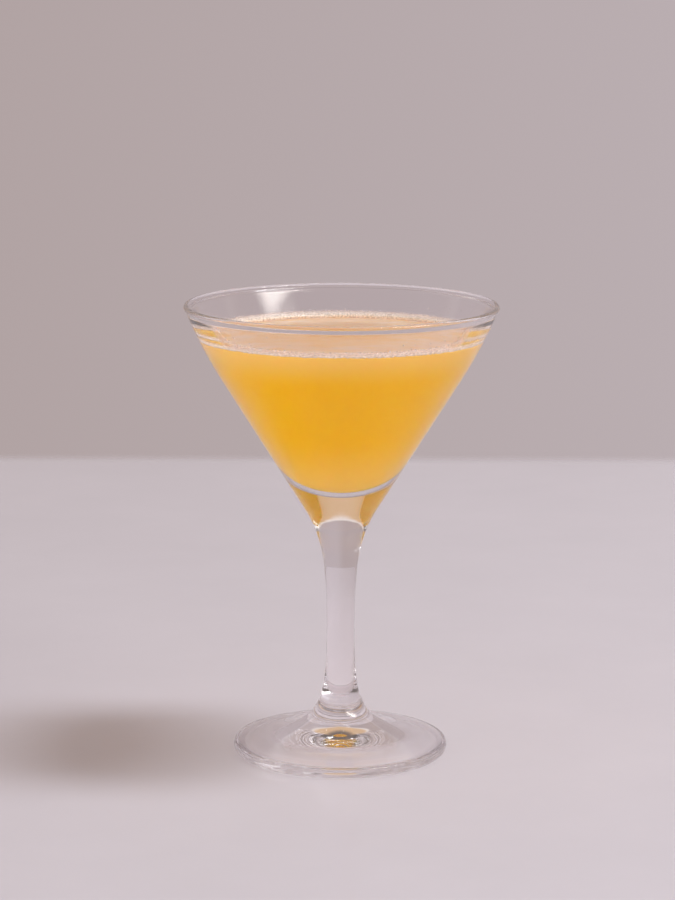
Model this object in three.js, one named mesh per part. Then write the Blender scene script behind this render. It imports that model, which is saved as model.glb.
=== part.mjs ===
// Sidecar cocktail: a stemmed glass of one piece, the drink that fills it and the froth ring on the drink.
// Millimetres, +Z up. The origin is the centre of the foot, on the surface that the glass stands on.
// Every piece is turned about the Z axis, so each is drawn as a profile: x is the radius, y the height.

import * as THREE from 'three';

const { degToRad, lerp } = THREE.MathUtils;

// Glass, outside
const HEIGHT = 143;
const FOOT_RADIUS = 33.8;
const FOOT_EDGE = 3.6;
const FOOT_BELLY_HEIGHT = 2;
const FOOT_EDGE_ROUNDNESS = 0.6;
const FOOT_TOP_TURN = 80;
const REST_INNER_RADIUS = 30;
const REST_OUTER_RADIUS = 31.8;
const UNDERSIDE_RISE = 4.6;
const UNDERSIDE_HOLD = 3;
const SWEEP_UPPER_HOLD = 14.9;
const SWEEP_LOWER_HOLD = 7.1;
const WAIST_RADIUS = 4.45;
const WAIST_HEIGHT = 42.3;
const TAPER_LEAN = degToRad(5.5);
const TAPER_ARC = 184;
const JOIN_HEIGHT = 77;
const JOIN_LEAN = degToRad(29);
const WALL_LEAN = degToRad(32.15);
const RIM_LEAN = degToRad(22.6);
const FLARE_ARC = 152;
const RIM_WALL = 1.5;
const LIP_RADIUS = 0.95;

// Glass, inside of the bowl
const BOWL_FLOOR_HEIGHT = 86.3;
const BOWL_FLOOR_ARC = 16;
const CAVITY_LEAN = degToRad(36.7);
const CAVITY_RIM_LEAN = degToRad(29.5);
const CAVITY_HOLD = 0.3;

// Drink and froth
const LEVEL = 132.7;
const MENISCUS_RISE = 0.9;
const MENISCUS_REACH = 3.3;
const MENISCUS_HOLD = 1.15;
const FROTH_WIDTH = 2.4;
const FROTH_HEIGHT = 1.3;
const FROTH_SHOULDER = 0.2;
const GAP = 0.3;

const TURN_STEPS = 56;

const at = (radius, height) => new THREE.Vector2(radius, height);

const last = (points) => points[points.length - 1];

// The direction of a wall that leans out by an angle from upright
const along = (lean) => at(Math.sin(lean), Math.cos(lean));

// The points of a curve after its first one
function follow(curve, steps) {
  return curve.getPoints(steps).slice(1);
}

// An arc that carries a wall on from one lean to another
function bend(start, radius, leanFrom, leanTo, steps) {
  const side = Math.sign(leanTo - leanFrom);
  const points = [];
  for (let step = 1; step <= steps; step += 1) {
    const lean = lerp(leanFrom, leanTo, step / steps);
    const out = side * radius * (Math.cos(leanFrom) - Math.cos(lean));
    const up = side * radius * (Math.sin(lean) - Math.sin(leanFrom));
    points.push(at(start.x + out, start.y + up));
  }
  return points;
}

// A part of an ellipse, its angles in degrees from outwards towards up
function ellipse(centre, halfWidth, halfHeight, from, to) {
  const [a, b] = [degToRad(from), degToRad(to)];
  return new THREE.EllipseCurve(centre.x, centre.y, halfWidth, halfHeight, a, b, a > b);
}

// The foot from the middle of its hollow underside to the edge of its top
function footProfile() {
  const dome = new THREE.QuadraticBezierCurve(
    at(0, UNDERSIDE_RISE),
    at(UNDERSIDE_HOLD, UNDERSIDE_RISE),
    at(REST_INNER_RADIUS, 0),
  );
  const underWidth = FOOT_RADIUS - REST_OUTER_RADIUS;
  const under = ellipse(at(REST_OUTER_RADIUS, FOOT_BELLY_HEIGHT), underWidth, FOOT_BELLY_HEIGHT, -90, 0);
  const overHeight = FOOT_EDGE - FOOT_BELLY_HEIGHT;
  const overWidth = FOOT_EDGE_ROUNDNESS * overHeight;
  const shoulder = at(FOOT_RADIUS - overWidth, FOOT_BELLY_HEIGHT);
  const over = ellipse(shoulder, overWidth, overHeight, 0, FOOT_TOP_TURN);
  return [
    at(0, UNDERSIDE_RISE),
    ...follow(dome, 5),
    at(REST_OUTER_RADIUS, 0),
    ...follow(under, 4),
    ...follow(over, 3),
  ];
}

// The foot's top, which sweeps up from its edge and becomes the stem
function sweepToWaist(footEdge) {
  const sweep = new THREE.CubicBezierCurve(
    footEdge,
    at(WAIST_RADIUS, SWEEP_LOWER_HOLD),
    at(WAIST_RADIUS, SWEEP_UPPER_HOLD),
    at(WAIST_RADIUS, WAIST_HEIGHT),
  );
  return follow(sweep, 12);
}

// How far past a half turn the lip's round goes on each side, because it swells a little past the wall
const LIP_SWELL = Math.acos(RIM_WALL / 2 / LIP_RADIUS);

// The middle of the lip's round, from the top of the outer wall
function lipCentre() {
  const inward = at(-Math.cos(RIM_LEAN), Math.sin(RIM_LEAN));
  const up = along(RIM_LEAN).multiplyScalar(LIP_RADIUS * Math.sin(LIP_SWELL));
  return inward.multiplyScalar(RIM_WALL / 2).add(up);
}

// The stem's taper and its spread up to the faint ridge where it joins the bowl, the bowl's straight wall
// and its flare, from the waist up to the lip
function outerWall(waist) {
  const taper = bend(waist, TAPER_ARC, 0, TAPER_LEAN, 3);
  const spreadArc = (JOIN_HEIGHT - last(taper).y) / (Math.sin(JOIN_LEAN) - Math.sin(TAPER_LEAN));
  const spread = bend(last(taper), spreadArc, TAPER_LEAN, JOIN_LEAN, 5);
  const flareRise = FLARE_ARC * (Math.sin(WALL_LEAN) - Math.sin(RIM_LEAN));
  const wallRise = HEIGHT - LIP_RADIUS - lipCentre().y - flareRise - JOIN_HEIGHT;
  const wallTop = last(spread).clone().addScaledVector(along(WALL_LEAN), wallRise / Math.cos(WALL_LEAN));
  const flare = bend(wallTop, FLARE_ARC, WALL_LEAN, RIM_LEAN, 4);
  return [...taper, ...spread, wallTop, ...flare];
}

// The round lip, from the outer wall's top over to the inner wall's top
function lip(start) {
  const centre = start.clone().add(lipCentre());
  const from = THREE.MathUtils.radToDeg(-RIM_LEAN - LIP_SWELL);
  const to = 180 - THREE.MathUtils.radToDeg(RIM_LEAN - LIP_SWELL);
  return follow(ellipse(centre, LIP_RADIUS, LIP_RADIUS, from, to), 8);
}

// The inside of the bowl, from the lip down to the middle of its rounded floor
function cavity(top) {
  const floorCentre = at(0, BOWL_FLOOR_HEIGHT + BOWL_FLOOR_ARC);
  const floorTop = at(
    BOWL_FLOOR_ARC * Math.cos(CAVITY_LEAN),
    floorCentre.y - BOWL_FLOOR_ARC * Math.sin(CAVITY_LEAN),
  );
  const hold = CAVITY_HOLD * top.distanceTo(floorTop);
  const wall = new THREE.CubicBezierCurve(
    top,
    top.clone().addScaledVector(along(CAVITY_RIM_LEAN), -hold),
    floorTop.clone().addScaledVector(along(CAVITY_LEAN), hold),
    floorTop,
  );
  const lean = THREE.MathUtils.radToDeg(CAVITY_LEAN);
  const floor = ellipse(floorCentre, BOWL_FLOOR_ARC, BOWL_FLOOR_ARC, -lean, -90);
  const points = [...follow(wall, 8), ...follow(floor, 5)];
  last(points).x = 0;
  return points;
}

// The same line moved away from the glass, into the bowl
function inset(points, distance) {
  return points.map((point, index) => {
    const before = points[Math.max(index - 1, 0)];
    const after = points[Math.min(index + 1, points.length - 1)];
    const onAxis = index === points.length - 1;
    const run = onAxis ? at(-1, 0) : after.clone().sub(before).normalize();
    return at(point.x + run.y * distance, point.y - run.x * distance);
  });
}

// The radius that a line which runs down the bowl has at a height
function radiusAt(points, height) {
  const below = points.findIndex((point) => point.y < height);
  const [high, low] = [points[below - 1], points[below]];
  return lerp(low.x, high.x, (height - low.y) / (high.y - low.y));
}

// The drink, from the middle of its foot up the wall, over the meniscus and level to the middle
function drinkProfile(innerWall) {
  const side = inset(innerWall, GAP);
  const edgeHeight = LEVEL + MENISCUS_RISE;
  const edge = at(radiusAt(side, edgeHeight), edgeHeight);
  const meniscus = new THREE.QuadraticBezierCurve(
    edge,
    at(edge.x - MENISCUS_HOLD, LEVEL),
    at(edge.x - MENISCUS_REACH, LEVEL),
  );
  const wetted = side.filter((point) => point.y < edgeHeight).reverse();
  return [...wetted, edge, ...follow(meniscus, 3), at(0, LEVEL)];
}

// The ring of froth, which lies on the meniscus against the wall
function frothProfile(innerWall) {
  const side = inset(innerWall, GAP);
  const bottom = LEVEL + MENISCUS_RISE + GAP;
  const top = bottom + FROTH_HEIGHT;
  const outerFoot = at(radiusAt(side, bottom), bottom);
  const outerTop = at(radiusAt(side, top) - FROTH_SHOULDER, top);
  const crest = new THREE.QuadraticBezierCurve(
    outerTop,
    at(outerFoot.x - FROTH_WIDTH, top),
    at(outerFoot.x - FROTH_WIDTH, bottom),
  );
  return [outerFoot, outerTop, ...follow(crest, 4), outerFoot.clone()];
}

// A named piece turned from its profile
function turned(name, profile, material) {
  const geometry = new THREE.LatheGeometry(profile, TURN_STEPS);
  geometry.rotateX(Math.PI / 2);
  const mesh = new THREE.Mesh(geometry, material);
  mesh.name = name;
  return mesh;
}

const glassMaterial = new THREE.MeshStandardMaterial({
  color: 0xeceaea,
  roughness: 0.03,
  metalness: 0,
  transparent: true,
  opacity: 0.35,
});
const drinkMaterial = new THREE.MeshStandardMaterial({ color: 0xe8a838, roughness: 0.2, metalness: 0 });
const frothMaterial = new THREE.MeshStandardMaterial({ color: 0xeed0b8, roughness: 0.6, metalness: 0 });

const foot = footProfile();
const sweep = sweepToWaist(last(foot));
const outside = outerWall(last(sweep));
const rim = lip(last(outside));
const innerWall = [last(rim), ...cavity(last(rim))];

const cocktail = new THREE.Group();
cocktail.add(turned('glass', [...foot, ...sweep, ...outside, ...rim, ...innerWall.slice(1)], glassMaterial));
cocktail.add(turned('drink', drinkProfile(innerWall), drinkMaterial));
cocktail.add(turned('froth_ring', frothProfile(innerWall), frothMaterial));

export default cocktail;
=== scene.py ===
"""Sidecar cocktail: a clear stemmed glass, the cloudy citrus drink in it and the froth round its edge."""

import math
import random

import bmesh
import bpy
from bpy.props import FloatProperty, FloatVectorProperty, IntProperty, PointerProperty
from mathutils import Euler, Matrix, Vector, noise


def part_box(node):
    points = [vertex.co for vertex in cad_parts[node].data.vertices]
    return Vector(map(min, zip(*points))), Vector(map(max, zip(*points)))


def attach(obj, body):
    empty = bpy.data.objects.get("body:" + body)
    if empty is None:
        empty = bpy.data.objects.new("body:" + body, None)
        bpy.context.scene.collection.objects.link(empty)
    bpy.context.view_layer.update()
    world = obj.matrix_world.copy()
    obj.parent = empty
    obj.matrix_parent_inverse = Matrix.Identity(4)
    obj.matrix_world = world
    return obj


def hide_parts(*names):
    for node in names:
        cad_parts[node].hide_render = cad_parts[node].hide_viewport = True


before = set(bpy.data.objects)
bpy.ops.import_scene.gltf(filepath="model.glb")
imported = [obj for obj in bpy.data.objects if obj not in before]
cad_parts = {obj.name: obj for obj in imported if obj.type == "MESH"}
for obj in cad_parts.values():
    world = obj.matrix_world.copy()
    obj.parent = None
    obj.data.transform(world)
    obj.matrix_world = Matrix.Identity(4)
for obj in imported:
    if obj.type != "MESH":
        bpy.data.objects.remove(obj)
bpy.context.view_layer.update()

bl_info = {
    "name": "Sidecar Cocktail",
    "version": (1, 0, 0),
    "blender": (4, 5, 0),
    "location": "View3D > Sidebar > Cocktail",
    "description": "Builds a stemmed glass with a cloudy citrus drink and its ring of froth",
    "category": "Object",
}

GLASS_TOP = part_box("glass")[1].z

# The foot's upper edge: its width for its height, and where it turns into the foot's top
EDGE_ROUNDNESS = 0.6
EDGE_TURN = math.radians(80)

# How long the inner wall keeps near the lean that it has at each end, as a share of its length
CAVITY_HOLD = 0.3

# Segments along each stretch of the glass's profile
DOME_SEGMENTS = 30
UNDER_SEGMENTS = 14
OVER_SEGMENTS = 10
SWEEP_SEGMENTS = 72
TAPER_SEGMENTS = 16
BASE_SEGMENTS = 24
WALL_SEGMENTS = 12
FLARE_SEGMENTS = 16
LIP_SEGMENTS = 28
CAVITY_SEGMENTS = 48
FLOOR_SEGMENTS = 28

# A point nearer to the axis than this is on it
AXIS_RADIUS = 1e-7

# The drink's open surface: the meniscus, its rings crowded towards the wall, and the level middle
MENISCUS_CURVE = 2.2
MENISCUS_SEGMENTS = 24
MENISCUS_CROWDING = 1.5
LEVEL_SEGMENTS = 12

# How strongly each material bends light, and the drink seen from inside the glass
GLASS_IOR = 1.52
DRINK_IOR = 1.35
BEAD_IOR = 1.34
DRINK_BEHIND_GLASS_IOR = 0.886

# The drink's body: where along its height it is deepest, and how its cloudiness shows
BOTTOM_SHARE = 0.02
DEEP_SHARES = (0.42, 0.78)
CLOUD_RANGE = (0.35, 0.7)
CLOUD_SHARES = (0, 0.07)
SCATTER_SPREAD = (1.0, 0.85, 0.7)
THIN_EDGE = 0.8

# The open surface: a darker tone mixed in, which is painted shade for the bowl's shade on it, and the streaks
# of the pale film, which is partly a painted reflection
SURFACE_PAINTED_SHADE = (0.55, 0.2, 0.06)
SURFACE_PAINTED_SHADE_SHARE = 0.32
FILM_END = 0.042
STREAK_STRETCH = (1, 4, 1)
STREAK_RANGE = (0.3, 0.7)
STREAK_SHARES = (0.55, 1.3)

# The froth's look: the drink that shows in it, its patches, and its density at the bottom and at the top
DRINK_IN_FROTH = 0.15
CELL_EDGE = 0.9
PATCH_RANGE = (0.3, 0.7)
PATCH_SPREAD = 0.4
FROTH_DENSITY = (2.5, 0.4)
BUBBLE_SHARES = (0.12, 0.65)

# The froth's cross-section. Slow and fine swells run round the ring, and each measure has a mean and
# the strength of both swells: its foot in metres, its crest and width as shares of the height and width.
SLOW_SWELLS = 9
FINE_SWELLS = 110
SWELL_START = 0.7
FROTH_FOOT = (-0.0003, 0.00015, 0.0003)
FROTH_CREST = (0.84, 0.08, 0.08)
FROTH_SPREAD = (0.8, 0.15, 0.08)
FROTH_STEPS = 900
CREST_SEGMENTS = 7
CREST_REACH = 0.55
INNER_TUCK = 0.0002
UNDER_TUCK = 0.0003
FROTH_INTO_WALL = 1.5

# The single bubbles, on the wall and on the froth's slope: the smallest radius and what chance adds to it,
# then the share of them on the wall, and how high and how far in both kinds sit
BUBBLE_SEED = 21
BUBBLE_SIZES = (0.0001, 0.00026)
WALL_BUBBLE_SHARE = 0.45
WALL_BUBBLE_TOP = 1.05
WALL_BUBBLE_CONTACT = 0.85
SLOPE_BUBBLE_TOP = 0.9
SLOPE_BUBBLE_GAP = 0.0002
SLOPE_BUBBLE_REACH = 0.95
BALL_SUBDIVISIONS = 2

# The beads on the wall: the smallest radius and what chance adds to it, and how high and far in they sit
BEAD_SEED = 5
BEAD_SIZES = (0.00008, 0.00014)
BEAD_CLIMB = 0.0045
BEAD_CONTACT = 0.4

# How much of the light the clear pieces let straight through
GLASS_PASS = (0.96, 0.96, 0.96)
BEAD_PASS = (0.98, 0.98, 0.98)

# The room, by the direction looked in: across, back and up run from -1 to 1
BACKDROP_BLEND = (-0.12, 0.12)
WARM_WALL_BLEND = (0.0, 0.5)
OVERHEAD_BLEND = (0.75, 0.92)
FRONT_BLEND = (-0.5, -0.2)

# How much the table top's mottle darkens and lightens it
TABLE_MOTTLE = 0.05

# The lamps: the place they look at, the direction of each from there, and the width and depth of its face
LAMP_TARGET = (0, 0, 0.08)
LAMP_DISTANCE = 2.5
KEY_DIRECTION = (0.48, -0.02, 0.877)
KEY_FACE = (0.5, 1.05)
KEY_TINT = (0.86, 0.92, 1)
SOFTBOX_DIRECTION = (0.70, -0.41, 0.62)
PANEL_DIRECTION = (0.586, -0.395, 0.707)
PANEL_FACE = (2.2, 0.45)
SOFT_EDGE = 0.3
FILL_DIRECTION = (-0.22, -1, 0.06)
FILL_FACE = (2.1, 0.8)
SIDE_FILLS = {"left_fill": (-1, 0.1, -0.04), "right_fill": (1, 0.1, -0.04)}
SIDE_FACE = (0.9, 0.7)

# How often light is followed through the glass
LIGHT_BOUNCES = 48

# The height of the camera's frame in millimetres
FRAME_HEIGHT = 36


def srgb(red, green, blue):
    """A colour given as 0 to 255 on screen, as scene-linear values."""
    values = (value / 255 for value in (red, green, blue))
    return tuple(v / 12.92 if v <= 0.04045 else ((v + 0.055) / 1.055) ** 2.4 for v in values)


def length(name, description, default):
    """A setting in metres."""
    return FloatProperty(name=name, description=description, default=default, unit="LENGTH", precision=5)


def angle(name, description, degrees):
    """A setting that is an angle."""
    return FloatProperty(name=name, description=description, default=math.radians(degrees), subtype="ANGLE")


def colour(name, description, red, green, blue):
    """A setting that is a colour, its default given as 0 to 255 on screen."""
    return FloatVectorProperty(
        name=name, description=description, default=srgb(red, green, blue), subtype="COLOR", min=0, max=1
    )


def fraction(name, description, default, lowest=0, highest=1):
    """A setting that is a share."""
    return FloatProperty(name=name, description=description, default=default, min=lowest, max=highest)


def power(name, description, watts):
    """A setting in watts."""
    return FloatProperty(name=name, description=description, default=watts, unit="POWER")


class GlassSettings(bpy.types.PropertyGroup):
    """The shape of the glass, which is one turned piece."""

    height: length("Height", "Top of the lip above the table", round(GLASS_TOP, 4))
    foot_radius: length("Foot radius", "Widest part of the foot", 0.0338)
    foot_edge: length("Foot edge", "Height of the foot's edge", 0.0036)
    foot_belly: length("Foot belly", "Height of the foot's widest line", 0.002)
    rest_inner: length("Rest inner radius", "Inside of the flat ring that the foot rests on", 0.03)
    rest_outer: length("Rest outer radius", "Outside of the flat ring that the foot rests on", 0.0318)
    underside_rise: length("Underside rise", "Depth of the hollow under the foot", 0.0046)
    underside_hold: length("Underside hold", "How far out the hollow stays nearly level", 0.003)
    sweep_upper: length("Upper sweep", "Height to which the stem stays straight", 0.0149)
    sweep_lower: length("Lower sweep", "Height at which the foot's slope would meet the stem", 0.0071)
    waist_radius: length("Waist radius", "The stem at its thinnest", 0.00445)
    waist_height: length("Waist height", "Where the stem is thinnest", 0.0423)
    taper_lean: angle("Taper lean", "Lean of the stem where the bowl's base begins", 5.5)
    taper_arc: length("Taper arc", "Radius of the stem's taper", 0.184)
    join_height: length("Join height", "Height of the faint ridge where the stem joins the bowl", 0.077)
    join_lean: angle("Join lean", "Lean of the stem just below the ridge", 29)
    wall_lean: angle("Wall lean", "Lean of the bowl's straight wall", 32.15)
    rim_lean: angle("Rim lean", "Lean of the wall at the lip", 22.6)
    flare_arc: length("Flare arc", "Radius of the curve below the lip", 0.152)
    rim_wall: length("Rim wall", "Thickness of the wall just below the lip", 0.0015)
    lip_radius: length("Lip radius", "Roundness of the lip, which swells a little past the wall", 0.00095)
    floor_height: length("Bowl floor", "Lowest point of the hollow", 0.0863)
    floor_arc: length("Floor arc", "Radius of the hollow's rounded floor", 0.016)
    cavity_lean: angle("Cavity lean", "Lean of the inner wall above the floor", 36.7)
    cavity_rim_lean: angle("Cavity rim lean", "Lean of the inner wall below the lip", 29.5)
    tint: colour("Tint", "Colour of the glass", 255, 252, 253)
    gloss: colour("Gloss", "Colour of what the glass mirrors face on", 196, 192, 186)
    waviness: fraction("Waviness", "Strength of the glass's fine relief", 0.004)
    turn_steps: IntProperty(name="Turn steps", description="Facets round the glass", default=256, min=24)


class DrinkSettings(bpy.types.PropertyGroup):
    """The drink, its meniscus and its froth."""

    level: length("Level", "Height of the still surface", 0.1327)
    meniscus_rise: length("Meniscus rise", "How far the edge climbs the wall", 0.0009)
    meniscus_reach: length("Meniscus reach", "How far in from the wall the surface is curved", 0.0033)
    into_wall: length("Into the wall", "How far the drink reaches into the glass to leave no gap", 0.00006)
    froth_width: length("Froth width", "Width of the froth ring on the surface", 0.0024)
    froth_height: length("Froth height", "Height of the froth at the wall", 0.0013)
    froth_cover: fraction("Froth cover", "How much the froth hides", 0.28, lowest=0.1, highest=0.8)
    froth_wetness: fraction("Froth wetness", "Gloss of the film on the froth", 0.6)
    scatter_reach: length("Scatter reach", "How far red light travels in the drink", 0.0015)
    bubble_count: IntProperty(name="Bubbles", description="Bubbles that stand out of the froth", default=1100)
    bead_count: IntProperty(name="Beads", description="Fine beads on the wall above the froth", default=260)
    deep: colour("Deep", "The drink in the middle of the bowl", 253, 186, 0)
    # Painted light: the drink is paler just under the froth for the light that comes in through the surface;
    # the cloud and the drink in the froth take this tone too
    top: colour("Top", "The drink just under the froth", 253, 198, 96)
    bottom: colour("Bottom", "The drink at the bottom of the bowl", 248, 192, 84)
    froth: colour("Froth", "The bubbles", 255, 243, 234)
    # The pale film is partly real froth and partly painted reflection: its colour is whitened for the
    # softbox's reflection on the surface
    film: colour("Film colour", "The thin film of fine bubbles on the surface", 227, 210, 202)
    film_share: fraction("Film", "Thickness of the pale film near the edge", 0.64)
    film_start: length("Film start", "Distance from the middle at which the pale film begins", 0.003)


class StudioSettings(bpy.types.PropertyGroup):
    """The camera, the table top and the light."""

    camera_x: length("Camera X", "The camera's place to the right", -0.00115)
    camera_distance: length("Camera distance", "How far the camera stands in front of the stem", 0.9039)
    camera_height: length("Camera height", "The camera above the table", 0.27224)
    camera_pitch: angle("Camera pitch", "How far the camera looks down", 10.98)
    camera_roll: angle("Camera roll", "How far the camera is turned about its view", 0.18)
    lens: FloatProperty(name="Lens", description="Focal length for a 36 mm frame height", default=117.85)
    table_half: length("Table half width", "From the stem to the table's back edge", 0.4764)
    table_fade: length("Table fade", "Width of the soft edge", 0.026)
    table: colour("Table", "The pale table top", 216, 209, 214)
    backdrop_left: colour("Backdrop left", "The wall behind, at the left", 177, 163, 163)
    backdrop_right: colour("Backdrop right", "The wall behind, at the right", 186, 174, 177)
    band: colour("Band", "The pale band where the backdrop ends", 236, 226, 222)
    band_low: angle("Band low", "Elevation at which the backdrop ends", 29)
    band_high: angle("Band high", "Elevation at which the ceiling begins", 34)
    band_blur: angle("Band blur", "Softness of the backdrop's upper edge", 3)
    upper_wall: colour("Upper wall", "The warm wall above the backdrop", 214, 182, 150)
    ceiling: colour("Ceiling", "The dim ceiling", 124, 112, 106)
    front: colour("Front", "The room behind the viewer", 112, 104, 102)
    key_power: power("Key power", "Large lamp at the right", 45)
    soft_power: power("Softbox power", "Softbox in front", 19)
    panel_power: power("Panel power", "Panel that only shows in gloss", 62)
    soft_width: length("Softbox width", "Width of the softbox", 1.7)
    soft_depth: length("Softbox depth", "Depth of the softbox", 0.8)
    fill_power: power("Fill power", "Low matt fill in front", 36)
    side_power: power("Side power", "Low matt fill at each side", 14)


def shares(steps):
    """The ends of equal steps from 0 to 1."""
    return [step / steps for step in range(1, steps + 1)]


def on_curve(controls, steps):
    """Points of a Bezier curve after its first one."""
    points = []
    for share in shares(steps):
        level = [Vector(control) for control in controls]
        while len(level) > 1:
            level = [a.lerp(b, share) for a, b in zip(level, level[1:])]
        points.append(level[0])
    return points


def on_ellipse(centre, half_width, half_height, start, end, steps):
    """Points of a part of an ellipse after its first one, its angles from outwards towards up."""
    points = []
    for share in shares(steps):
        turn = start + (end - start) * share
        points.append(centre + Vector((half_width * math.cos(turn), half_height * math.sin(turn))))
    return points


def on_bend(start, radius, lean_from, lean_to, steps):
    """Points of an arc that carries a wall on from one lean to another."""
    side = math.copysign(radius, lean_to - lean_from)
    points = []
    for share in shares(steps):
        lean = lean_from + (lean_to - lean_from) * share
        out = side * (math.cos(lean_from) - math.cos(lean))
        up = side * (math.sin(lean) - math.sin(lean_from))
        points.append(Vector((start.x + out, start.y + up)))
    return points


def along(lean):
    """The direction of a wall that leans out by an angle from upright."""
    return Vector((math.sin(lean), math.cos(lean)))


def foot_profile(g):
    """The foot from the middle of its hollow underside to the edge of its top."""
    middle = Vector((0, g.underside_rise))
    dome = on_curve([middle, (g.underside_hold, g.underside_rise), (g.rest_inner, 0)], DOME_SEGMENTS)
    belly = Vector((g.rest_outer, g.foot_belly))
    under_width = g.foot_radius - g.rest_outer
    under = on_ellipse(belly, under_width, g.foot_belly, -math.pi / 2, 0, UNDER_SEGMENTS)
    over_height = g.foot_edge - g.foot_belly
    over_width = EDGE_ROUNDNESS * over_height
    shoulder = Vector((g.foot_radius - over_width, g.foot_belly))
    over = on_ellipse(shoulder, over_width, over_height, 0, EDGE_TURN, OVER_SEGMENTS)
    return [middle, *dome, Vector((g.rest_outer, 0)), *under, *over]


def stem_profile(g, foot_edge):
    """The foot's top, which sweeps up from its edge and becomes the stem."""
    waist = Vector((g.waist_radius, g.waist_height))
    controls = [foot_edge, (g.waist_radius, g.sweep_lower), (g.waist_radius, g.sweep_upper), waist]
    return on_curve(controls, SWEEP_SEGMENTS)


def outer_profile(g, waist):
    """The stem's taper, the bowl's base, its straight wall and its flare, up to the lip."""
    taper = on_bend(waist, g.taper_arc, 0, g.taper_lean, TAPER_SEGMENTS)
    base_arc = (g.join_height - taper[-1].y) / (math.sin(g.join_lean) - math.sin(g.taper_lean))
    base = on_bend(taper[-1], base_arc, g.taper_lean, g.join_lean, BASE_SEGMENTS)
    flare_rise = g.flare_arc * (math.sin(g.wall_lean) - math.sin(g.rim_lean))
    rise = g.height - lip_centre(g).y - g.lip_radius - flare_rise - base[-1].y
    wall_top = base[-1] + along(g.wall_lean) * rise / math.cos(g.wall_lean)
    wall = [base[-1].lerp(wall_top, share) for share in shares(WALL_SEGMENTS)]
    flare = on_bend(wall_top, g.flare_arc, g.wall_lean, g.rim_lean, FLARE_SEGMENTS)
    return [*taper, *base, *wall, *flare]


def lip_swell(g):
    """How far past a half turn the lip's round goes on each side, as an angle."""
    return math.acos(g.rim_wall / 2 / g.lip_radius)


def lip_centre(g):
    """The middle of the lip's round, from the top of the outer wall."""
    inward = Vector((-math.cos(g.rim_lean), math.sin(g.rim_lean)))
    return inward * g.rim_wall / 2 + along(g.rim_lean) * g.lip_radius * math.sin(lip_swell(g))


def lip_profile(g, start):
    """The round lip, from the outer wall's top over to the inner wall's top."""
    first = -g.rim_lean - lip_swell(g)
    final = math.pi - g.rim_lean + lip_swell(g)
    return on_ellipse(start + lip_centre(g), g.lip_radius, g.lip_radius, first, final, LIP_SEGMENTS)


def cavity_profile(g, top):
    """The inside of the bowl, from below the lip to the middle of its rounded floor."""
    centre = Vector((0, g.floor_height + g.floor_arc))
    floor_top = centre + Vector((math.cos(g.cavity_lean), -math.sin(g.cavity_lean))) * g.floor_arc
    hold = CAVITY_HOLD * (top - floor_top).length
    upper = top - along(g.cavity_rim_lean) * hold
    lower = floor_top + along(g.cavity_lean) * hold
    wall = on_curve([top, upper, lower, floor_top], CAVITY_SEGMENTS)
    floor = on_ellipse(centre, g.floor_arc, g.floor_arc, -g.cavity_lean, -math.pi / 2, FLOOR_SEGMENTS)
    floor[-1].x = 0
    return [*wall, *floor]


def glass_outside(g):
    """The line from the middle of the foot's underside up to the outer side of the lip."""
    foot = foot_profile(g)
    stem = stem_profile(g, foot[-1])
    return [*foot, *stem, *outer_profile(g, stem[-1])]


def inner_wall(g):
    """The line from the inner side of the lip down to the bowl's floor."""
    lip = lip_profile(g, glass_outside(g)[-1])
    return [lip[-1], *cavity_profile(g, lip[-1])]


def moved_out(line, distance):
    """A line that runs down the bowl, moved into the wall."""
    moved = []
    for index, point in enumerate(line):
        before, after = line[max(index - 1, 0)], line[min(index + 1, len(line) - 1)]
        run = Vector((-1, 0)) if index == len(line) - 1 else (after - before).normalized()
        moved.append(point + Vector((-run.y, run.x)) * distance)
    return moved


def radius_at(line, height):
    """The radius that a line which runs down the bowl has at a height."""
    for high, low in zip(line, line[1:]):
        if low.y <= height <= high.y:
            return low.x + (high.x - low.x) * (height - low.y) / (high.y - low.y)
    raise ValueError(f"the line has no point at height {height}")


def edge_height(d):
    """The height at which the drink's surface meets the wall."""
    return d.level + d.meniscus_rise


def surface_height(d, wall_radius, radius):
    """The drink's surface, level in the middle and climbing to its edge."""
    share = max(0.0, 1 - (wall_radius - radius) / d.meniscus_reach)
    return d.level + d.meniscus_rise * share**MENISCUS_CURVE


def new_piece(name, vertices, faces, materials, slots=None):
    """A smooth mesh object in the scene."""
    mesh = bpy.data.meshes.new(name)
    mesh.from_pydata(vertices, [], faces)
    for material in materials:
        mesh.materials.append(material)
    mesh.polygons.foreach_set("use_smooth", [True] * len(mesh.polygons))
    if slots:
        mesh.polygons.foreach_set("material_index", slots)
    mesh.update()
    piece = bpy.data.objects.new(name, mesh)
    bpy.context.scene.collection.objects.link(piece)
    return piece


def around(radius, height, turn):
    """A point at an angle round the Z axis."""
    return Vector((radius * math.cos(turn), radius * math.sin(turn), height))


def turned(profile, steps):
    """Vertices and faces of a profile turned about Z, a full turn of faces for each of its segments."""
    vertices, rings = [], []
    for point in profile:
        count = 1 if point.x < AXIS_RADIUS else steps
        rings.append((len(vertices), count))
        vertices.extend(around(point.x, point.y, 2 * math.pi * step / steps) for step in range(count))
    faces = []
    for (low, low_count), (high, high_count) in zip(rings, rings[1:]):
        for step in range(steps):
            after = (step + 1) % steps
            corners = [low + step % low_count, low + after % low_count]
            corners += [high + after % high_count, high + step % high_count]
            faces.append(list(dict.fromkeys(corners)))
    return vertices, faces


def ring_of(sections):
    """Vertices and faces of a closed ring through cross-sections that stand round the Z axis."""
    steps, count = len(sections), len(sections[0])
    vertices, faces = [], []
    for step, section in enumerate(sections):
        turn = 2 * math.pi * step / steps
        vertices.extend(around(point.x, point.y, turn) for point in section)
        here, there = step * count, (step + 1) % steps * count
        for index in range(count):
            after = (index + 1) % count
            faces.append([here + index, there + index, there + after, here + after])
    return vertices, faces


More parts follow.
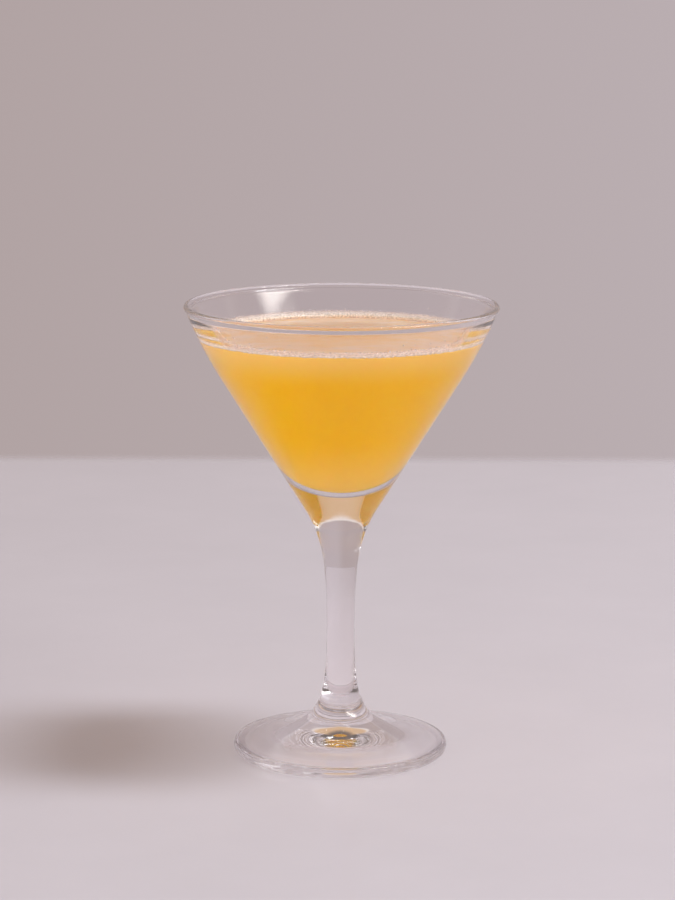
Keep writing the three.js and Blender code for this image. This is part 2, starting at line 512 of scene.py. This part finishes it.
def fill(tree, node, sockets):
    """Fill a node's sockets, each from another node's output or with a number, a vector or a colour."""
    for key, source in sockets.items():
        socket = node.inputs[key]
        if isinstance(source, bpy.types.NodeSocket):
            tree.links.new(source, socket)
        else:
            socket.default_value = (*source, 1) if socket.type == "RGBA" else source


def add_node(tree, kind, sockets, **settings):
    """A node with its settings, and with its sockets filled by name or number."""
    node = tree.nodes.new(kind)
    for name, value in settings.items():
        setattr(node, name, value)
    fill(tree, node, sockets)
    return node


def calculated(tree, operation, *values):
    """The result of a sum on outputs and plain numbers."""
    node = add_node(tree, "ShaderNodeMath", dict(enumerate(values)), operation=operation)
    return node.outputs["Value"]


def graded(tree, value, over, into=(0, 1), smooth=False):
    """A figure that goes through one range while a value goes over another, and holds at both ends."""
    sockets = {"Value": value, "From Min": over[0], "From Max": over[1], "To Min": into[0], "To Max": into[1]}
    kind = "SMOOTHSTEP" if smooth else "LINEAR"
    return add_node(tree, "ShaderNodeMapRange", sockets, interpolation_type=kind).outputs["Result"]


def mixed(tree, share, first, second):
    """A mix of two colours."""
    mix = add_node(tree, "ShaderNodeMix", {"Factor": share, "A": first, "B": second}, data_type="RGBA")
    return mix.outputs["Result"]


def colour_ramp(tree, value, stops, interpolation="LINEAR"):
    """Colours laid along a value, each given as its position and itself."""
    node = add_node(tree, "ShaderNodeValToRGB", {"Fac": value})
    node.color_ramp.interpolation = interpolation
    elements = node.color_ramp.elements
    for position, _ in stops[1:-1]:
        elements.new(position)
    for element, (position, tone) in zip(elements, stops):
        element.position = position
        element.color = (*tone, 1)
    return node.outputs["Color"]


def place_on(tree, coordinates="Object"):
    """Where a point is, in the piece's own coordinates unless others are named."""
    return tree.nodes.new("ShaderNodeTexCoord").outputs[coordinates]


def axes_of(tree, place):
    """The X, Y and Z of a place."""
    return add_node(tree, "ShaderNodeSeparateXYZ", {"Vector": place}).outputs


def grain(tree, place, scale, detail=2.0, roughness=0.5):
    """Soft noise from 0 to 1."""
    sockets = {"Vector": place, "Scale": scale, "Detail": detail, "Roughness": roughness}
    return add_node(tree, "ShaderNodeTexNoise", sockets).outputs["Fac"]


def add_bump(tree, shader, height, distance, strength, invert=False):
    """Fine relief on a surface."""
    sockets = {"Height": height, "Distance": distance, "Strength": strength}
    bump = add_node(tree, "ShaderNodeBump", sockets, invert=invert)
    fill(tree, shader, {"Normal": bump.outputs["Normal"]})


def new_material(name, sockets):
    """A material, its node tree and its surface shader, with the shader's sockets filled."""
    material = bpy.data.materials.new(name)
    material.use_nodes = True
    tree = material.node_tree
    shader = tree.nodes["Principled BSDF"]
    fill(tree, shader, sockets)
    return material, tree, shader


def clear_shader(tree, tint=(1, 1, 1)):
    """Light goes straight through, tinted."""
    return add_node(tree, "ShaderNodeBsdfTransparent", {"Color": tint})


def show_both(tree, share, first, second):
    """The surface is one shader where a share is 0, and another where it is 1."""
    sockets = {"Fac": share, 1: first.outputs["BSDF"], 2: second.outputs["BSDF"]}
    mix = add_node(tree, "ShaderNodeMixShader", sockets)
    fill(tree, tree.nodes["Material Output"], {"Surface": mix.outputs["Shader"]})


def let_light_through(tree, shader, tint):
    """Lamps and soft light pass the clear piece straight, so that what is in and under it is lit."""
    path = tree.nodes.new("ShaderNodeLightPath")
    either = calculated(tree, "MAXIMUM", path.outputs["Is Shadow Ray"], path.outputs["Is Diffuse Ray"])
    show_both(tree, either, shader, clear_shader(tree, tint))


def glass_material(g):
    """Clear pressed glass, with the faint waviness that pressing leaves."""
    finish = {
        "Base Color": g.tint,
        "Specular Tint": g.gloss,
        "Transmission Weight": 1,
        "Roughness": 0,
        "IOR": GLASS_IOR,
    }
    material, tree, shader = new_material("clear_pressed_glass", finish)
    add_bump(tree, shader, grain(tree, place_on(tree), scale=45), distance=0.0002, strength=g.waviness)
    let_light_through(tree, shader, GLASS_PASS)
    return material


def scattering(reach):
    """The finish of what light goes into and comes out of again nearby, the red of it farthest."""
    return {"Subsurface Weight": 1, "Subsurface Scale": reach, "Subsurface Radius": SCATTER_SPREAD}


def drink_colour(tree, d, floor_height):
    """The drink's colour: paler under the froth as painted light that comes in through the surface, paler at
    the bottom, and cloudy between.
    """
    place = place_on(tree)
    height = graded(tree, axes_of(tree, place)["Z"], (floor_height, edge_height(d)))
    # The top stop is painted light: the pale layer that light coming in through the surface makes
    stops = [(BOTTOM_SHARE, d.bottom), *((share, d.deep) for share in DEEP_SHARES), (1.0, d.top)]
    body = colour_ramp(tree, height, stops, "EASE")
    cloud = grain(tree, place, scale=38, detail=3, roughness=0.45)
    return mixed(tree, graded(tree, cloud, CLOUD_RANGE, CLOUD_SHARES), body, d.top)


def under_film_and_reflection(tree, d, below):
    """The surface's colour under a thin pale film, which thickens in streaks towards the edge. The film is
    partly real froth and partly a painted reflection of the softbox.
    """
    place = place_on(tree)
    axes = axes_of(tree, place)
    flat = add_node(tree, "ShaderNodeCombineXYZ", {"X": axes["X"], "Y": axes["Y"]})
    radius = add_node(tree, "ShaderNodeVectorMath", {0: flat.outputs["Vector"]}, operation="LENGTH")
    thickness = graded(tree, radius.outputs["Value"], (d.film_start, FILM_END), (0, d.film_share))
    stretched = add_node(tree, "ShaderNodeMapping", {"Vector": place, "Scale": STREAK_STRETCH})
    streaks = grain(tree, stretched.outputs["Vector"], scale=90, detail=5, roughness=0.6)
    uneven = graded(tree, streaks, STREAK_RANGE, STREAK_SHARES)
    return mixed(tree, calculated(tree, "MULTIPLY", thickness, uneven), below, d.film)


def drink_body_material(d, floor_height):
    """The drink against the glass. It only mirrors at a glancing angle, as a liquid does behind glass."""
    finish = {**scattering(d.scatter_reach), "Specular IOR Level": 0, "Roughness": 0.6}
    material, tree, shader = new_material("cloudy_citrus_drink", finish)
    thin_from, thick_from = d.level + THIN_EDGE * d.meniscus_rise, d.level - d.meniscus_rise
    thickness = graded(tree, axes_of(tree, place_on(tree))["Z"], (thin_from, thick_from), smooth=True)
    fill(tree, shader, {"Base Color": drink_colour(tree, d, floor_height), "Subsurface Weight": thickness})
    edge = add_node(tree, "ShaderNodeFresnel", {"IOR": DRINK_BEHIND_GLASS_IOR})
    mirror = add_node(tree, "ShaderNodeBsdfAnisotropic", {"Roughness": 0}, distribution="GGX")
    show_both(tree, edge.outputs["Fac"], shader, mirror)
    return material


def drink_surface_material(d, floor_height):
    """The drink's open surface, glossy, with faint ripples, its colour darkened all over by painted shade."""
    finish = {**scattering(d.scatter_reach), "IOR": DRINK_IOR, "Roughness": 0.06}
    material, tree, shader = new_material("drink_surface", finish)
    # Painted shade: a darker tone is mixed into the whole surface for the shade that the bowl casts on it
    shaded = mixed(tree, SURFACE_PAINTED_SHADE_SHARE, drink_colour(tree, d, floor_height), SURFACE_PAINTED_SHADE)
    fill(tree, shader, {"Base Color": under_film_and_reflection(tree, d, shaded)})
    ripples = grain(tree, place_on(tree), scale=160, detail=3)
    add_bump(tree, shader, ripples, distance=0.0004, strength=0.1)
    return material


def froth_material(d):
    """Fine pale bubbles under a wet film, densest at the bottom and see-through between them."""
    finish = {
        "Roughness": 0.4,
        "IOR": DRINK_IOR,
        "Coat Weight": d.froth_wetness,
        "Coat Roughness": 0.1,
        "Coat IOR": 1.8,
    }
    material, tree, shader = new_material("citrus_froth", finish)
    place = place_on(tree)
    cells = add_node(tree, "ShaderNodeTexVoronoi", {"Vector": place, "Scale": 2600}).outputs["Distance"]
    wet = [(1 - DRINK_IN_FROTH) * a + DRINK_IN_FROTH * b for a, b in zip(d.froth, d.top)]
    fill(tree, shader, {"Base Color": colour_ramp(tree, cells, [(0, d.froth), (CELL_EDGE, wet)])})
    add_bump(tree, shader, cells, distance=0.0002, strength=0.35, invert=True)
    patch_shares = ((1 - PATCH_SPREAD) * d.froth_cover, (1 + PATCH_SPREAD) * d.froth_cover)
    patches = graded(tree, grain(tree, place, scale=1500), PATCH_RANGE, patch_shares)
    height_range = (edge_height(d), edge_height(d) + d.froth_height)
    density = graded(tree, axes_of(tree, place)["Z"], height_range, FROTH_DENSITY)
    show_both(tree, calculated(tree, "MULTIPLY", patches, density), clear_shader(tree), shader)
    return material


def bubble_material(d):
    """The skins of the single bubbles, glossy and mostly clear."""
    finish = {"Base Color": d.froth, "Roughness": 0.15, "IOR": DRINK_IOR}
    material, tree, shader = new_material("clear_bubbles", finish)
    edge = add_node(tree, "ShaderNodeLayerWeight", {"Blend": 0.35})
    skin = graded(tree, edge.outputs["Facing"], (0, 1), BUBBLE_SHARES)
    show_both(tree, skin, clear_shader(tree), shader)
    return material


def bead_material():
    """Clear fine beads of drink on the wall."""
    finish = {"Base Color": (1, 1, 1), "Transmission Weight": 1, "IOR": BEAD_IOR, "Roughness": 0.02}
    material, tree, shader = new_material("clear_beads", finish)
    let_light_through(tree, shader, BEAD_PASS)
    return material


def table_material(s):
    """A pale polished table top that fades out at its edges."""
    material, tree, shader = new_material("pale_table_top", {"Roughness": 0.13})
    place = place_on(tree)
    darker = [(1 - TABLE_MOTTLE) * value for value in s.table]
    lighter = [(1 + TABLE_MOTTLE) * value for value in s.table]
    mottle = grain(tree, place, scale=16, detail=5, roughness=0.6)
    fill(tree, shader, {"Base Color": mixed(tree, mottle, darker, lighter)})
    axes = axes_of(tree, place)
    sides = [calculated(tree, "ABSOLUTE", axes[name]) for name in "XY"]
    edge = (s.table_half - s.table_fade / 2, s.table_half + s.table_fade / 2)
    fade = graded(tree, calculated(tree, "MAXIMUM", *sides), edge, smooth=True)
    show_both(tree, fade, shader, clear_shader(tree))
    return material


def swell(swells, turn):
    """How high a swell that runs round the ring stands at an angle, from -1 to 1."""
    return noise.noise(Vector((swells * math.cos(turn), swells * math.sin(turn), SWELL_START)))


def froth_section(d, line, turn):
    """The froth's cross-section at one angle, from its outer foot over the crest to its inner foot."""
    slow, fine = swell(SLOW_SWELLS, turn), swell(FINE_SWELLS, turn)
    measures = (FROTH_FOOT, FROTH_CREST, FROTH_SPREAD)
    foot, crest, spread = (mean + by_slow * slow + by_fine * fine for mean, by_slow, by_fine in measures)
    edge = edge_height(d)
    low = edge + foot
    high = edge + d.froth_height * crest
    width = d.froth_width * spread
    wall, top = radius_at(line, low), radius_at(line, high)
    inner = wall - width
    outer = [Vector((wall, low)), Vector(((wall + top) / 2, (low + high) / 2)), Vector((top, high))]
    slope = on_curve([(top, high), (wall - CREST_REACH * width, high), (inner, edge)], CREST_SEGMENTS)
    tuck = Vector((inner - INNER_TUCK, surface_height(d, wall, inner) - UNDER_TUCK))
    return [*outer, *slope, tuck]


def bubble_places(d, wall):
    """The centre and the radius of each bubble that stands out of the froth."""
    rng = random.Random(BUBBLE_SEED)
    smallest, spread = BUBBLE_SIZES
    edge = edge_height(d)
    places = []
    for _ in range(d.bubble_count):
        turn = rng.uniform(0, 2 * math.pi)
        size = smallest + spread * rng.random() ** 2
        share = rng.random()
        if rng.random() < WALL_BUBBLE_SHARE:
            height = edge + rng.uniform(0, WALL_BUBBLE_TOP) * d.froth_height
            radius = radius_at(wall, height) - WALL_BUBBLE_CONTACT * size
        else:
            height = edge + SLOPE_BUBBLE_TOP * d.froth_height * (1 - share**2)
            radius = radius_at(wall, height) - SLOPE_BUBBLE_GAP - SLOPE_BUBBLE_REACH * d.froth_width * share
        places.append((around(radius, height, turn), size))
    return places


def bead_places(d, wall):
    """The centre and the radius of each bead, most of them just above the froth."""
    rng = random.Random(BEAD_SEED)
    smallest, spread = BEAD_SIZES
    start = edge_height(d) + d.froth_height
    places = []
    for _ in range(d.bead_count):
        turn = rng.uniform(0, 2 * math.pi)
        height = start + BEAD_CLIMB * rng.random() ** 2
        size = smallest + spread * rng.random() ** 2
        places.append((around(radius_at(wall, height) - BEAD_CONTACT * size, height, turn), size))
    return places


def balls(places):
    """Vertices and faces of small spheres, each given as its centre and radius."""
    ball = bmesh.new()
    bmesh.ops.create_icosphere(ball, subdivisions=BALL_SUBDIVISIONS, radius=1)
    corners = [vertex.co.copy() for vertex in ball.verts]
    sides = [[vertex.index for vertex in face.verts] for face in ball.faces]
    ball.free()
    vertices, faces = [], []
    for centre, radius in places:
        start = len(vertices)
        vertices.extend(centre + corner * radius for corner in corners)
        faces.extend([start + index for index in side] for side in sides)
    return vertices, faces


class COCKTAIL_OT_glass(bpy.types.Operator):
    """Turn the glass"""

    bl_idname = "cocktail.glass"
    bl_label = "Glass"

    def execute(self, context):
        g = context.scene.cocktail_glass
        outside = glass_outside(g)
        lip = lip_profile(g, outside[-1])
        vertices, faces = turned([*outside, *lip, *cavity_profile(g, lip[-1])], g.turn_steps)
        piece = new_piece("stemmed_glass", vertices, faces, [glass_material(g)])
        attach(piece, "root")
        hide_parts("glass")
        return {"FINISHED"}


class COCKTAIL_OT_drink(bpy.types.Operator):
    """Fill the bowl up to its level"""

    bl_idname = "cocktail.drink"
    bl_label = "Drink"

    def execute(self, context):
        g, d = context.scene.cocktail_glass, context.scene.cocktail_drink
        wall = moved_out(inner_wall(g), d.into_wall)
        edge = Vector((radius_at(wall, edge_height(d)), edge_height(d)))
        side = [*reversed([point for point in wall if point.y < edge.y]), edge]
        reaches = [d.meniscus_reach * share**MENISCUS_CROWDING for share in shares(MENISCUS_SEGMENTS)]
        radii = [edge.x - reach for reach in reaches]
        meniscus = [Vector((radius, surface_height(d, edge.x, radius))) for radius in radii]
        middle = [Vector((radii[-1] * (1 - share), d.level)) for share in shares(LEVEL_SEGMENTS)]
        vertices, faces = turned([*side, *meniscus, *middle], g.turn_steps)
        side_faces = (len(side) - 1) * g.turn_steps
        slots = [int(index >= side_faces) for index in range(len(faces))]
        looks = [drink_body_material(d, g.floor_height), drink_surface_material(d, g.floor_height)]
        piece = new_piece("citrus_drink", vertices, faces, looks, slots)
        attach(piece, "root")
        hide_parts("drink")
        return {"FINISHED"}


class COCKTAIL_OT_froth(bpy.types.Operator):
    """Lay the froth round the drink's edge, with the bubbles that stand out of it"""

    bl_idname = "cocktail.froth"
    bl_label = "Froth"

    def execute(self, context):
        g, d = context.scene.cocktail_glass, context.scene.cocktail_drink
        wall = moved_out(inner_wall(g), FROTH_INTO_WALL * d.into_wall)
        turns = [2 * math.pi * step / FROTH_STEPS for step in range(FROTH_STEPS)]
        vertices, faces = ring_of([froth_section(d, wall, turn) for turn in turns])
        ring = new_piece("froth_ring_soft", vertices, faces, [froth_material(d)])
        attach(ring, "root")
        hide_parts("froth_ring")
        vertices, faces = balls(bubble_places(d, wall))
        bubbles = new_piece("froth_bubbles", vertices, faces, [bubble_material(d)])
        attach(bubbles, "root")
        return {"FINISHED"}


class COCKTAIL_OT_beads(bpy.types.Operator):
    """Leave fine beads on the wall above the froth"""

    bl_idname = "cocktail.beads"
    bl_label = "Beads"

    def execute(self, context):
        g, d = context.scene.cocktail_glass, context.scene.cocktail_drink
        vertices, faces = balls(bead_places(d, inner_wall(g)))
        beads = new_piece("wall_beads", vertices, faces, [bead_material()])
        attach(beads, "root")
        return {"FINISHED"}


class COCKTAIL_OT_camera(bpy.types.Operator):
    """Stand the camera in front of the glass"""

    bl_idname = "cocktail.camera"
    bl_label = "Camera"

    def execute(self, context):
        s = context.scene.cocktail_studio
        data = bpy.data.cameras.new("view")
        data.sensor_width = FRAME_HEIGHT
        data.lens = s.lens
        camera = bpy.data.objects.new("view", data)
        camera.location = (s.camera_x, -s.camera_distance, s.camera_height)
        level = Euler((math.pi / 2 - s.camera_pitch, 0, 0)).to_matrix()
        roll = Euler((0, 0, s.camera_roll)).to_matrix()
        camera.rotation_euler = (level @ roll).to_euler()
        context.scene.collection.objects.link(camera)
        context.scene.camera = camera
        return {"FINISHED"}


def room(s):
    """The backdrop all round, a warm wall above it at the back, and a dim ceiling."""
    world = bpy.data.worlds.new("studio")
    bpy.context.scene.world = world
    world.use_nodes = True
    tree = world.node_tree
    across, back, up = axes_of(tree, place_on(tree, "Generated"))
    low, high = math.sin(s.band_low), math.sin(s.band_high)
    band = (math.sin(s.band_low - s.band_blur), low)
    backdrop = mixed(tree, graded(tree, across, BACKDROP_BLEND), s.backdrop_left, s.backdrop_right)
    ceiling = mixed(tree, graded(tree, back, WARM_WALL_BLEND, smooth=True), s.ceiling, s.upper_wall)
    overhead = mixed(tree, graded(tree, up, OVERHEAD_BLEND, smooth=True), ceiling, s.ceiling)
    above_band = mixed(tree, graded(tree, up, (low, high), smooth=True), s.band, overhead)
    behind = mixed(tree, graded(tree, up, band, smooth=True), backdrop, above_band)
    whole = mixed(tree, graded(tree, back, FRONT_BLEND, smooth=True), s.front, behind)
    fill(tree, tree.nodes["Background"], {"Color": whole})


def soften(data, edge):
    """Let a lamp's light fade towards the edges of its face, which runs from 0 to 1 each way."""
    data.use_nodes = True
    tree = data.node_tree
    axes = axes_of(tree, tree.nodes.new("ShaderNodeNewGeometry").outputs["Parametric"])
    half = 0.5
    fades = []
    for name in "XY":
        offset = calculated(tree, "ABSOLUTE", calculated(tree, "SUBTRACT", axes[name], half))
        fades.append(graded(tree, offset, (half, half - edge), smooth=True))
    fill(tree, tree.nodes["Emission"], {"Strength": calculated(tree, "MULTIPLY", *fades)})


def area_light(name, watts, direction, face, tint=(1, 1, 1), edge=0):
    """A lamp with a flat face that looks at the glass. It doesn't show itself in the picture."""
    data = bpy.data.lights.new(name, "AREA")
    data.shape = "RECTANGLE"
    data.size, data.size_y = face
    data.energy = watts
    data.color = tint
    if edge:
        soften(data, edge)
    lamp = bpy.data.objects.new(name, data)
    towards = Vector(direction).normalized()
    lamp.location = Vector(LAMP_TARGET) + towards * LAMP_DISTANCE
    lamp.rotation_euler = towards.to_track_quat("Z", "Y").to_euler()
    lamp.visible_camera = False
    bpy.context.scene.collection.objects.link(lamp)
    return lamp


def lamps(s):
    """The key at the right, the softbox and the panel that the glass mirrors, and the low matt fills."""
    key = area_light("key", s.key_power, KEY_DIRECTION, KEY_FACE, KEY_TINT)
    key.visible_glossy = False
    area_light("softbox", s.soft_power, SOFTBOX_DIRECTION, (s.soft_width, s.soft_depth), edge=SOFT_EDGE)
    panel = area_light("gloss_panel", s.panel_power, PANEL_DIRECTION, PANEL_FACE, edge=SOFT_EDGE)
    panel.visible_diffuse = False
    fills = [area_light("low_fill", s.fill_power, FILL_DIRECTION, FILL_FACE)]
    for name, direction in SIDE_FILLS.items():
        fills.append(area_light(name, s.side_power, direction, SIDE_FACE))
    for lamp in fills:
        lamp.visible_glossy = False
        lamp.visible_transmission = False


class COCKTAIL_OT_stage(bpy.types.Operator):
    """Lay the pale table top and set the soft light"""

    bl_idname = "cocktail.stage"
    bl_label = "Stage"

    def execute(self, context):
        s = context.scene.cocktail_studio
        half = s.table_half + s.table_fade
        corners = [(-half, -half, 0), (half, -half, 0), (half, half, 0), (-half, half, 0)]
        table = new_piece("table_top", corners, [[0, 1, 2, 3]], [table_material(s)])
        room(s)
        lamps(s)
        scene = context.scene
        scene.view_settings.view_transform = "Standard"
        scene.cycles.max_bounces = LIGHT_BOUNCES
        scene.cycles.transmission_bounces = LIGHT_BOUNCES
        scene.cycles.glossy_bounces = LIGHT_BOUNCES
        scene.cycles.diffuse_bounces = 6
        scene.cycles.transparent_max_bounces = 32
        scene.cycles.caustics_reflective = False
        scene.cycles.caustics_refractive = False
        scene.cycles.sample_clamp_indirect = 6
        return {"FINISHED"}


STEPS = (
    COCKTAIL_OT_camera,
    COCKTAIL_OT_stage,
    COCKTAIL_OT_glass,
    COCKTAIL_OT_drink,
    COCKTAIL_OT_froth,
    COCKTAIL_OT_beads,
)


class COCKTAIL_PT_panel(bpy.types.Panel):
    """Sizes, colours and the steps that build the cocktail"""

    bl_idname = "COCKTAIL_PT_panel"
    bl_label = "Sidecar Cocktail"
    bl_space_type = "VIEW_3D"
    bl_region_type = "UI"
    bl_category = "Cocktail"

    def draw(self, context):
        for step in STEPS:
            self.layout.operator(step.bl_idname)
        for group in SETTINGS:
            settings = getattr(context.scene, group)
            box = self.layout.box()
            for name in settings.__annotations__:
                box.prop(settings, name)


SETTINGS = {
    "cocktail_glass": GlassSettings,
    "cocktail_drink": DrinkSettings,
    "cocktail_studio": StudioSettings,
}
CLASSES = (*SETTINGS.values(), *STEPS, COCKTAIL_PT_panel)


def register():
    """Make the settings, the operators and the panel known."""
    for cls in CLASSES:
        bpy.utils.register_class(cls)
    for name, settings in SETTINGS.items():
        setattr(bpy.types.Scene, name, PointerProperty(type=settings))


def unregister():
    """Take them away again."""
    for name in SETTINGS:
        delattr(bpy.types.Scene, name)
    for cls in reversed(CLASSES):
        bpy.utils.unregister_class(cls)


def main():
    """Build the cocktail and its stage."""
    register()
    for step in STEPS:
        getattr(bpy.ops.cocktail, step.bl_idname.split(".")[1])()


if __name__ == "__main__":
    main()
